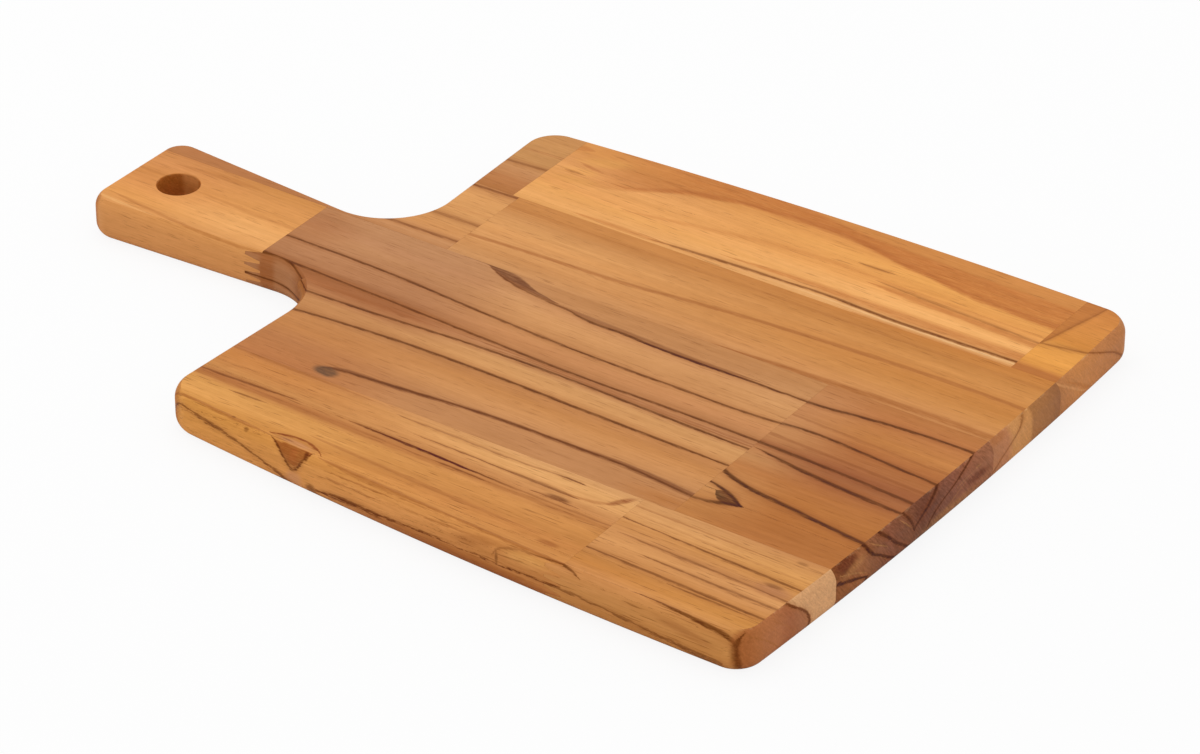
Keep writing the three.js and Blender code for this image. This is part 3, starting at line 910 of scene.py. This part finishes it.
# near stave, long length: streaky, with a swirling knot at the near edge
nearBody = {
    "seed": 3500,
    "pith": [(-80, -40), (110, -40)],
    "pithHeight": 30,
    "span": (-60, 70),
    "shade": {"streak": 0.4, "blotch": 0.2, "fibre": 0.55, "mottle": 0.16},
    "pores": 0.5,
    "bands": [
        (-139, "#d89862", "#ab693c"),
        (-135, "#dd9a60", "#c8864e"),
        (-131, "#de9a57", "#d89456"),
        (-126, "#d8954f", "#d08e50"),
        (-120, "#d6954f", "#c8854a"),
        (-115, "#e1a15b", "#ca894c"),
        (-108, "#d79955", "#cf8e50"),
        (-103, "#ba7846", "#cb8a50"),
        (-98, "#c6884f", "#c98b55"),
        (-92, "#c9864c", "#d99d62"),
        (-87, "#c9854a", "#dda367"),
        (-80, "#bf7d4c", "#d49b66"),
    ],
    "tones": {"brown": "#a8683a", "golden": "#e4a862", "rose": "#cf9266", "red": "#8a4222",
              "ember": "#b5683a", "dark": "#602d1b"},
    "strokes": [
        line("golden", [(-74, -82), (-10, -81.6)], [(-80, 0.8), (-30, 0.8), (-5, 0)], 0.6),
        line("brown", [(-80, -83.5), (-9, -83.6)], [(-80, 0.9), (-20, 0.8), (-5, 0)], 0.6),
        line("brown", [(-80, -103.4), (108, -103.2)], [(-80, 2.4), (20, 2.4), (70, 1.8), (108, 1.4)],
             0.5, core=0.3),
        line("brown", [(-11, -115.3), (20, -116.8), (60, -118.5), (90, -119)],
             [(-14, 0), (0, 1.1), (60, 1.3), (95, 0)], 0.5),
        line("brown", [(86, -93), (96, -92), (103, -89.5)], [(83, 0), (92, 1.1), (102, 1.3), (105, 0)],
             0.55),
        line("brown", [(-72, -119.4), (-39, -122.2), (-24, -123.2), (1, -125.4), (31, -127),
                       (61, -128.2), (91, -129.3), (112, -129.8)],
             [(-72, 0.6), (-28, 0.7), (-22, 0), (-2, 0), (4, 0.9), (60, 0.9), (95, 1.1), (112, 0.8)],
             0.75),
        spot("golden", (96, -132.4), (13, 2), 0.5),
        spot("brown", (-12, -121.8), (14, 3.6), 0.5),
        spot("rose", (-12.5, -122.6), (9.5, 1.7), 0.75, turn=-3),
        line("red", [(-24, -121.8), (-19, -120.2), (-12, -119.4), (-5, -121), (0, -124)],
             [(-26, 0), (-20, 0.9), (-12, 0.7), (-6, 0.9), (1, 0)], 0.95),
        line("red", [(-22, -124.2), (-17, -125.6), (-11, -127), (-7, -126.2), (-3, -124.4)],
             [(-22, 0), (-18.5, 0.9), (-15.5, 2.2), (-11, 3), (-7.5, 2.4), (-5, 1.2), (-3, 0)], 0.8,
             core=0.7),
        spot("ember", (-11, -126.8), (2.4, 2.3), 0.6),
        line("dark", [(-23, -123.6), (-18.5, -126.1), (-15.5, -128.2), (-11, -130), (-7.5, -128.7),
                      (-5, -126.6), (-3, -124.2)],
             [(-23.5, 0), (-20, 0.6), (-11, 0.45), (-4, 0.6), (-2.5, 0)], 0.85),
        spot("rose", (-11, -131.6), (5, 1.6), 0.85),
        line("brown", [(4, -128.4), (38, -129.6)], [(3, 0), (12, 0.3), (30, 0.3), (40, 0)], 0.7),
        line("brown", [(16, -127.6), (62, -129.4)], [(15, 0), (30, 0.25), (50, 0.3), (64, 0)], 0.65),
        line("brown", [(0, -129.8), (30, -131)], [(-1, 0), (8, 0.35), (22, 0.3), (32, 0)], 0.7),
        line("brown", [(36, -131), (74, -131.6)], [(34, 0), (50, 0.3), (66, 0.4), (76, 0)], 0.6),
        spot("brown", (75, -132), (13, 1.6), 0.55, turn=5),
        spot("red", (99, -122.5), (5.5, 1.9), 0.5),
        spot("red", (104.8, -86), (2, 6.4), 0.75, turn=-38),
        line("red", [(-2, -134.6), (20, -135.4), (60, -137), (110, -138)],
             [(-4, 0), (6, 1.6), (110, 1.4)], 0.6),
        spot("dark", (-5.4, -126.2), (1.4, 2.1), 0.85, turn=12),
        spot("dark", (-3, -132.6), (3, 1.1), 0.7),
        spot("dark", (-34.4, -124.4), (1.5, 0.9), 0.65),
        spot("dark", (-42, -121.6), (1.2, 0.6), 0.6),
        spot("dark", (85, -97.2), (6.5, 1.6), 0.75),
        spot("dark", (83, -134.2), (0.9, 1.2), 0.6),
        line("dark", [(6, -86), (30, -86), (60, -85.8), (78, -84.8), (88, -84.8)],
             [(4, 0), (20, 0.6), (60, 0.6), (70, 0.4), (78, 0.6), (85, 0.6), (89, 0)],
             [(60, 0.4), (76, 0.45), (80, 0.9)]),
        line("dark", [(18, -93), (60, -93), (90, -93.6)],
             [(16, 0), (30, 0.5), (60, 0.6), (66, 1), (85, 0.9), (92, 0)], 0.65),
        line("dark", [(-72, -101.5), (-50, -100.4), (-31, -99.4)], [(-80, 0.7), (-40, 0.7), (-28, 0)],
             0.65),
        line("dark", [(-6, -99.4), (30, -100), (60, -100.7), (108, -101)],
             [(-8, 0), (0, 0.6), (58, 0.7), (66, 0.6), (108, 0.5)],
             [(-6, 0.6), (4, 0.95), (56, 0.95), (64, 0.5), (108, 0.4)]),
        line("dark", [(34, -102.8), (60, -102.9)], [(32, 0), (42, 0.6), (61, 0)], 0.6),
        line("dark", [(-55, -108), (-38, -107.3)], [(-56, 0), (-46, 0.7), (-37, 0)], 0.6),
        line("dark", [(74, -98.4), (95, -98.5)], [(73, 0), (84, 0.6), (96, 0)], 0.7),
        line("dark",
             [(-69, -122.6), (-59, -124.5), (-43, -126.9), (-31, -129.1), (-19, -131.3), (-11, -132.8)],
             [(-72, 0.42), (-45, 0.42), (-25, 0.32), (-10, 0.32), (-8, 0)], 0.75),
        line("dark", [(-1, -132.6), (11, -132.8), (29, -133.6), (49, -134.1), (73, -134.9),
                      (87, -135.2), (110, -135.5)],
             [(-2, 0), (6, 0.4), (24, 0.5), (34, 0.3), (110, 0.3)], 0.9),
        line("dark", [(81, -134), (84, -132.4), (89, -131.2), (97, -130.6), (110, -130)],
             [(80.5, 0), (83, 0.4), (97, 0.4), (110, 0.4)], [(84, 0.35), (96, 0.4), (104, 0.75)]),
    ],
}
makePiece("near_stave_body", "honey_teak", "streaky teak, sanded and oiled, near length",
          None, jointLines["nearEnd"], *nearStave, nearBody)

# near stave, end length: paler, with thin lines and a pale stripe in its end grain
nearEnd = {
    "seed": 3900,
    "pith": [(105, -40), (190, -40)],
    "pithHeight": 30,
    "span": (120, 185),
    "shade": {"streak": 0.4, "blotch": 0.15, "fibre": 0.5, "mottle": 0.14},
    "pores": 0.5,
    "bands": [
        (-139, "#b5763f", "#bd7d45"),
        (-135, "#cd8f54", "#cc8e52"),
        (-131, "#d3925a", "#d39357"),
        (-124, "#ca8748", "#d1904d"),
        (-120, "#c58549", "#c88749"),
        (-114, "#cb8d55", "#cd8e56"),
        (-108, "#d5975d", "#d89a61"),
        (-102, "#cf9159", "#c88a55"),
        (-96, "#cf9055", "#cf9051"),
        (-90, "#dca065", "#d99b5b"),
        (-84, "#d69b63", "#d09359"),
        (-78, "#c98f5b", "#c48654"),
    ],
    "tones": {"brown": "#a8693c", "rose": "#b57a56", "bone": "#dca776", "dark": "#67381f"},
    "halo": "#a8683c",
    "strokes": [
        spot("brown", (164, -134.6), (15, 1.1), 0.5, turn=-3),
        line("brown", [(108, -85), (170, -85.3)], [(108, 0.6), (150, 0.7), (172, 0)], 0.5),
        line("brown", [(108, -89.5), (187, -91)], 0.7, 0.3),
        spot("rose", (179, -101.8), (9, 4.6), 0.6),
        spot("dark", (178.5, -82), (3, 1.3), 0.45),
        spot("dark", (178, -99.2), (5, 1.5), 0.55),
        line("dark", [(108, -93.4), (150, -95), (190, -96.2)],
             [(108, 0.4), (140, 0.6), (150, 0.9), (181, 0.9), (190, 0.6)], 0.75),
        line("dark", [(116, -102.4), (177, -104), (190, -104.6)],
             [(114, 0), (125, 0.6), (177, 0.7), (190, 0.7)], 0.55),
        line("dark", [(130, -109.5), (188, -110.6)], [(128, 0), (140, 0.6), (190, 0.7)], 0.6),
        line("dark", [(110, -116.1), (150, -117.1), (190, -118)], [(108, 0.5), (130, 0.9), (190, 0.9)],
             0.75),
        line("dark", [(148, -119), (180, -119.3)], [(146, 0), (158, 0.6), (182, 0)], 0.6),
        line("dark", [(106, -129.3), (112, -130.2), (119, -132.6)], [(105, 0.6), (112, 0.8), (120, 0)],
             0.8),
        line("dark", [(144, -129.6), (165, -130.8), (188, -132.4)],
             [(140, 0), (155, 0.7), (178, 1.1), (190, 1)], 0.95),
        line("dark", [(106, -135.5), (125, -135.9), (141, -136.5), (161, -137.1), (185, -137.3)], 0.28,
             0.65),
        spot("dark", (184.5, -134.5), (0.9, 5), 0.8, turn=8),
    ],
    "endBands": [
        (-133, "#a96338"),
        (-124, "#b27045"),
        (-114, "#b6744c"),
        (-106, "#a86846"),
        (-80, "#b98560"),
    ],
    "endStrokes": [
        line("brown", [(2, -111), (4.4, -113.9), (8.3, -118), (13.1, -124.7), (16.4, -130)], 0.9, 0.6),
        line("brown", [(2, -103), (6, -105), (14, -114)], 0.7, 0.4),
        field("bone",
              [(1, -93.4), (4.4, -93.9), (7.2, -94.7), (11.1, -98), (14.3, -102.2), (16.4, -104.7)],
              0.5, 1),
        line("dark", [(1, -129), (8, -130.6), (13, -129.8), (15.5, -127)], [(1, 1.4), (13, 1), (16, 0)],
             0.85),
        line("dark",
             [(1, -94.2), (4.4, -94.7), (7.2, -95.5), (11.1, -98.8), (14.3, -103), (16.4, -105.5)], 1.2,
             0.9),
    ],
}
makePiece("near_stave_end", "pale_teak", "pale streaky teak, sanded and oiled, near end",
          jointLines["nearEnd"], None, *nearStave, nearEnd)
print("stage: pieces made")

# the camera that fits the photograph's outline
cameraPlace = {"lens": 158.06, "yaw": 35.3701, "pitch": 31.8926, "at": (996.87, -1356.18, 1035.4)}
camera = bpy.data.cameras.new("camera")
camera.lens = cameraPlace["lens"]
camera.sensor_width = 36
camera.clip_end = 20
viewer = bpy.data.objects.new("camera", camera)
yaw, pitch = math.radians(cameraPlace["yaw"]), math.radians(cameraPlace["pitch"])
back = Vector((math.sin(yaw) * math.cos(pitch), -math.cos(yaw) * math.cos(pitch), math.sin(pitch)))
right = Vector((math.cos(yaw), math.sin(yaw), 0))
turned = Matrix((right, back.cross(right), back)).transposed().to_4x4()
viewer.matrix_world = Matrix.Translation(Vector(cameraPlace["at"]) * metre) @ turned
bpy.context.scene.collection.objects.link(viewer)
bpy.context.scene.camera = viewer

# Matt white paper, uncoated: the eye sees plain white with a soft shadow, since most of what the camera sees
# of it glows white
paperSize = {"half": 6000, "drop": 0.2, "white": 0.86, "glowShare": 0.88}
half, level = paperSize["half"], -paperSize["drop"]
corners = [(-half, -half), (half, -half), (half, half), (-half, half)]
floorMesh = meshFrom("floor", [(x, y, level) for x, y in corners], [(0, 1, 2, 3)])
floor = bpy.data.objects.new("floor", floorMesh)
bpy.context.scene.collection.objects.link(floor)
paper = bpy.data.materials.new("matt white paper")
paper.use_nodes = True
paper.node_tree.nodes.clear()
add = partial(addNode, paper.node_tree)
seen = add("LightPath")["Is Camera Ray"]
share = add("Math", seen, paperSize["glowShare"], operation="MULTIPLY")[0]
matt = add("BsdfDiffuse", (*[paperSize["white"]] * 3, 1))[0]
glow = add("Emission", (1, 1, 1, 1), 1)[0]
both = add("MixShader", share, matt, glow)[0]
add("OutputMaterial", both)
floorMesh.materials.append(paper)

# soft studio light: an even room and a softbox over the far left, in metres and watts
studio = {"room": 0.845, "softbox": (1.6, 1.2), "at": (-0.5, 0.2, 1.6), "watts": 7}
world = bpy.data.worlds.new("studio")
world.use_nodes = True
world.node_tree.nodes["Background"].inputs["Color"].default_value = (1, 1, 1, 1)
world.node_tree.nodes["Background"].inputs["Strength"].default_value = studio["room"]
bpy.context.scene.world = world
lamp = bpy.data.lights.new("overhead softbox", "AREA")
lamp.shape = "RECTANGLE"
lamp.size, lamp.size_y = studio["softbox"]
lamp.energy = studio["watts"]
softbox = bpy.data.objects.new("overhead softbox", lamp)
softbox.location = studio["at"]
softbox.rotation_euler = (-softbox.location).to_track_quat("-Z", "Y").to_euler()
bpy.context.scene.collection.objects.link(softbox)
bpy.context.scene.view_settings.view_transform = "Standard"
print("stage: camera and light set")
